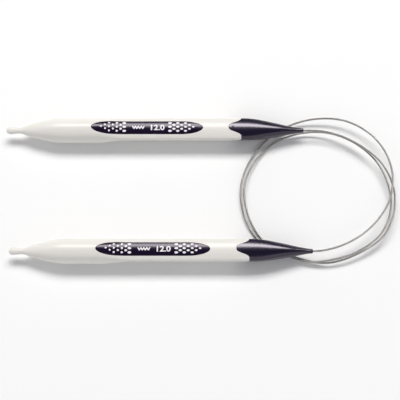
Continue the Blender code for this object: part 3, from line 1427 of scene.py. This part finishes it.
@dataclass
class Rope:
    """The steel rope: its route from mouth to mouth, and how its strands are laid."""

    diameter: float = 1.0
    lay: float = 7.0
    strands: int = 6
    strand_sides: int = 8
    strands_across: int = 3
    inside: float = 28.0
    inside_steps: int = 80
    fine: int = 36
    bend_reach: float = 45.0
    bend_slant: float = 20.0
    first_cut: float = 6.5
    second_cut: float = 34.5
    route: tuple[Point, ...] = (
        (70.55, 30.0, 6.0), (77.5, 29.8, 6.1), (86.9, 27.6, 6.3), (98.0, 22.0, 6.3),
        (108.0, 12.6, 5.9), (113.0, 0.0, 5.0), (113.2, -6.4, 4.6), (108.0, -21.1, 4.4),
        (94.0, -31.0, 3.2), (81.7, -34.7, 2.2), (64.4, -31.3, 0.8), (51.0, -24.2, 0.6),
        (43.6, -12.6, 1.9), (41.7, 3.3, 2.7), (47.3, 16.4, 1.9), (56.6, 25.3, 1.2),
        (68.9, 29.8, 2.0), (82.3, 29.5, 3.6), (95.1, 24.0, 4.5), (105.4, 14.2, 4.5),
        (110.7, 1.3, 4.4), (111.4, -6.5, 4.2), (106.8, -20.0, 4.0), (95.3, -29.4, 4.3),
        (81.6, -33.8, 3.7), (72.2, -34.3, 2.8), (63.0, -31.9, 1.5), (50.2, -25.7, 0.5),
        (41.8, -13.1, 1.6), (39.9, 2.9, 2.4), (46.6, 19.7, 1.4), (60.4, 32.3, 1.4),
        (76.1, 36.7, 3.6), (91.3, 35.1, 4.8), (104.4, 26.6, 5.3), (111.9, 11.3, 6.4),
        (111.2, -2.8, 6.8), (102.1, -17.5, 6.8), (88.3, -26.8, 6.5), (73.75, -30.0, 6.0),
    )  # fmt: skip

    def _tangent(self, i: int) -> Vector:
        """Direction of the route at one of its points, straight out of the mouths at the ends.

        Args:
            i: Number of the point.

        Returns:
            Millimetres moved per millimetre of rope.
        """
        if i in (0, len(self.route) - 1):
            return Vector((1.0 if i == 0 else -1.0, 0.0, 0.0))
        before, here, after = (Vector(point) for point in self.route[i - 1 : i + 2])
        back, onwards = here - before, after - here
        near, far = back.length, onwards.length
        return (back * far / near + onwards * near / far) / (near + far)

    def at(self, place: float) -> Vector:
        """Point on the smooth curve through the route, never lower than the rope's radius.

        Args:
            place: Number of the route's point, with a fraction for places between two.

        Returns:
            The point in millimetres.
        """
        i = min(int(place), len(self.route) - 2)
        start, end = Vector(self.route[i]), Vector(self.route[i + 1])
        span = (end - start).length
        leaving, arriving = (span * self._tangent(number) for number in (i, i + 1))
        point = curve_between(start, end, leaving, arriving, place - i)
        point.z = max(point.z, self.diameter / 2.0)
        return point

    def stretch(self, start: float, end: float) -> list[Vector]:
        """Points of the curve from one place on the route to another."""
        count = max(2, round((end - start) * self.fine))
        return [self.at(mix(start, end, share)) for share in steps(count)]

    def _lay(
        self, name: str, maker: Maker, line: list[Vector], start: float, finishes: Finishes
    ) -> bpy.types.Object:
        """Lay the strands along a line.

        Args:
            name: Name of the piece.
            maker: The tree that lays strands.
            line: Centre line in millimetres.
            start: How far along the whole rope the line starts.
            finishes: The materials.

        Returns:
            The finished piece.
        """
        host = bpy.data.meshes.new(name)
        points = [list(p * MM) for p in line]
        host.from_pydata(points, [(i, i + 1) for i in range(len(points) - 1)], [])
        values = {
            "Strand Count": self.strands,
            "Strand Radius": self.diameter / 2.0 / self.strands_across * MM,
            "Lay Length": self.lay * MM,
            "Start": start * MM,
            "Strand Sides": self.strand_sides,
            "Finish": finishes.steel,
        }
        piece = maker.make(name, host, values)
        return piece

    def _bend(self, piece: bpy.types.Object, side: Side, mouth: Vector) -> None:
        """Bake a lead's placement into its mesh; the lead is not made to bend.

        Args:
            piece: The lead.
            side: The needle.
            mouth: The needle's mouth. Not used.
        """
        side.node("cable_end")
        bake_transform(piece)

    def build(self, places: dict[Side, Place], finishes: Finishes) -> list[bpy.types.Object]:
        """Make the rope in five pieces that meet end to end.

        Args:
            places: Where the needles lie.
            finishes: The materials.

        Returns:
            Two leads with the loops between them, and two inner ends.
        """
        maker = rope_maker()
        rear, front = (Vector(places[side].mouth) for side in (Side.REAR, Side.FRONT))
        lines = {
            "rear_rope_lead": [rear, *self.stretch(0.0, self.first_cut)],
            "rope_loops": self.stretch(self.first_cut, self.second_cut),
            "front_rope_lead": [*self.stretch(self.second_cut, len(self.route) - 1.0), front],
        }
        pieces = []
        start = 0.0
        for name, line in lines.items():
            piece = self._lay(name, maker, line, start, finishes)
            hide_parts("cable")
            from_exit = line[::-1] if name == "front_rope_lead" else line
            length = sum((b - a).length for a, b in zip(line, line[1:]))
            [c * MM for c in from_exit[0]]
            [list(p * MM) for p in from_exit]
            start += length
            pieces.append(piece)
        self._bend(pieces[0], Side.REAR, rear)
        self._bend(pieces[2], Side.FRONT, front)
        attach(pieces[1], "cable_loop")
        for side, mouth, at in ((Side.REAR, rear, -self.inside), (Side.FRONT, front, start)):
            inner = mouth - Vector((self.inside, 0.0, 0.0))
            ends = (inner, mouth) if side is Side.REAR else (mouth, inner)
            line = [ends[0].lerp(ends[1], share) for share in steps(self.inside_steps)]
            piece = self._lay(side.node("rope_end"), maker, line, at, finishes)
            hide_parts(side.node("cable_end"))
            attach(piece, side.node("cable_end"))
            pieces.append(piece)
        log.info("free rope: %.1f mm", start)
        return pieces


# ---- The studio --------------------------------------------------------------------------------------


@dataclass(frozen=True)
class Softbox:
    """One soft light, aimed at the middle of the object."""

    name: str
    tilt: float
    swing: float
    distance: float
    width: float
    height: float
    power: float
    colour: Colour = (1.0, 1.0, 1.0)

    def build(self, target: Vector) -> None:
        """Hang the light.

        Args:
            target: What it is aimed at.
        """
        light = bpy.data.lights.new(self.name, "AREA")
        light.shape = "RECTANGLE"
        light.size = self.width
        light.size_y = self.height
        light.energy = self.power
        light.color = self.colour
        lamp = linked(self.name, light)
        tilt, swing = math.radians(self.tilt), math.radians(self.swing)
        away = Vector(
            (math.sin(tilt) * math.sin(swing), math.sin(tilt) * math.cos(swing), math.cos(tilt))
        )
        lamp.location = target + away * self.distance
        lamp.rotation_euler = away.to_track_quat("Z", "Y").to_euler()


@dataclass(frozen=True)
class Studio:
    """Camera, pale table and soft light."""

    target: Point = (20.2, -4.9, 6.0)
    distance: float = 680.0
    tilt: float = 16.0
    lens: float = 128.5
    table: float = 3000.0
    table_sink: float = 0.1
    table_colour: Colour = (0.93, 0.93, 0.93)
    walls: Colour = (0.95, 0.95, 0.95)
    ceiling: Colour = (0.05, 0.05, 0.06)
    walls_until: float = 0.12
    ceiling_from: float = 0.35

    def camera(self) -> None:
        """Set the camera over the front edge, looking down on the needles."""
        data = bpy.data.cameras.new("camera")
        data.lens = self.lens
        camera = linked("camera", data)
        tilt = math.radians(self.tilt)
        back = Vector((0.0, -math.sin(tilt), math.cos(tilt)))
        camera.location = (Vector(self.target) + back * self.distance) * MM
        camera.rotation_euler = back.to_track_quat("Z", "Y").to_euler()
        bpy.context.scene.camera = camera

    def floor(self) -> None:
        """Lay the pale table."""
        half = self.table / 2.0 * MM
        mesh = bpy.data.meshes.new("table")
        corners = [(-half, -half), (half, -half), (half, half), (-half, half)]
        low = -self.table_sink * MM
        mesh.from_pydata([(x, y, low) for x, y in corners], [], [(0, 1, 2, 3)])
        finish = Finish("pale table", {"Base Color": rgba(self.table_colour), "Roughness": 0.9})
        finish.shader.inputs["Specular IOR Level"].default_value = 0.0
        mesh.materials.append(finish.material)
        linked("table", mesh)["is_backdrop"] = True

    def world(self) -> None:
        """Pale walls and a dim ceiling."""
        world = bpy.data.worlds.new("studio")
        world.use_nodes = True
        bpy.context.scene.world = world
        graph = Graph(world.node_tree)
        direction = graph.node("ShaderNodeTexCoord", output="Generated")
        up = graph.node("ShaderNodeSeparateXYZ", None, {0: direction}, output="Z")
        stops = [
            (0.0, self.walls),
            (self.walls_until, self.walls),
            (self.ceiling_from, self.ceiling),
        ]
        ramp = graph.node("ShaderNodeValToRGB", {"stops": stops}, {0: up})
        light = graph.node("ShaderNodeBackground", None, {"Color": ramp, "Strength": 1.0})
        graph.node("ShaderNodeOutputWorld", None, {"Surface": light})

    def lights(self) -> None:
        """Hang the key light behind the needles and the weak fills."""
        target = Vector((20.0, 0.0, 0.0)) * MM
        for softbox in (
            Softbox("key", 34.0, 0.0, 2.2, 1.86, 0.70, 44.5, (1.0, 0.99, 0.975)),
            Softbox("front fill", 49.0, 180.0, 2.2, 3.0, 1.5, 12.0, (0.97, 0.98, 1.0)),
            Softbox("left fill", 58.0, -90.0, 2.2, 1.6, 2.0, 8.5),
            Softbox("right fill", 58.0, 90.0, 2.2, 1.6, 2.0, 8.5),
        ):
            softbox.build(target)

    def build(self) -> None:
        """Set up everything around the object."""
        scene = bpy.context.scene
        scene.view_settings.view_transform = "Standard"
        self.camera()
        self.floor()
        self.world()
        self.lights()


def main() -> None:
    """Build the studio, the rope and both needles."""
    logging.basicConfig(level=logging.INFO, format="%(message)s")
    Studio().build()
    finishes = Finishes()
    places = {side: Place.from_frame(side) for side in Side}
    for piece in Rope().build(places, finishes):
        report(piece)
    drops = drop_maker()
    for place in places.values():
        for piece in Needle(place).build(finishes, drops):
            report(piece)
    sizes = {"cad": CAD_BOX, "visual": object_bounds()}
    {name: [list(corner) for corner in box] for name, box in sizes.items()}


if __name__ == "__main__":
    main()
